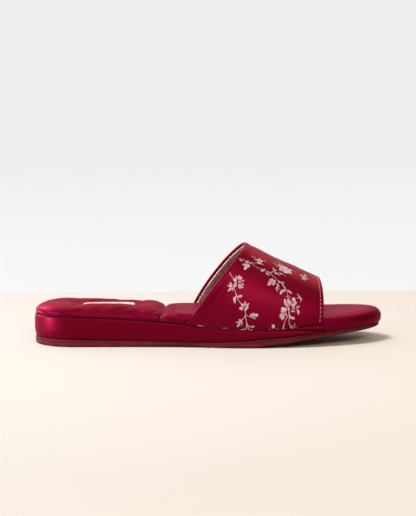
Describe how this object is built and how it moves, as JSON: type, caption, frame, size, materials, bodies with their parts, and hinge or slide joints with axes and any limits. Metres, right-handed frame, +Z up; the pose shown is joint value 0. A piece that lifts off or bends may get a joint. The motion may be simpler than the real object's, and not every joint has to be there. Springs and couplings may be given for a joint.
{
  "type": "slide sandal",
  "caption": "Open-toe satin slide slipper for the right foot, with a floral brocade vamp band, a padded footbed with a heel pad, and a low covered wedge on a thin sole.",
  "frame": {"origin": "bottom centre of the bounding box, on the floor that the sole rests on", "axes": "+X from heel to toe, +Y to the medial side, +Z up"},
  "size_m": [0.2498, 0.0851, 0.0705],
  "materials": {
    "outsole": "dull moulded maroon",
    "wedge_satin": "burgundy satin",
    "footbed_satin": "burgundy satin over padding",
    "vamp_brocade": "burgundy satin brocade with pale floral sprigs",
    "patch": "plain pale woven patch"
  },
  "bodies": {
    "root": {"outsole": "outsole", "wedge": "wedge_satin", "footbed": "footbed_satin", "vamp": "vamp_brocade", "label_patch": "patch"}
  },
  "joints": []
}
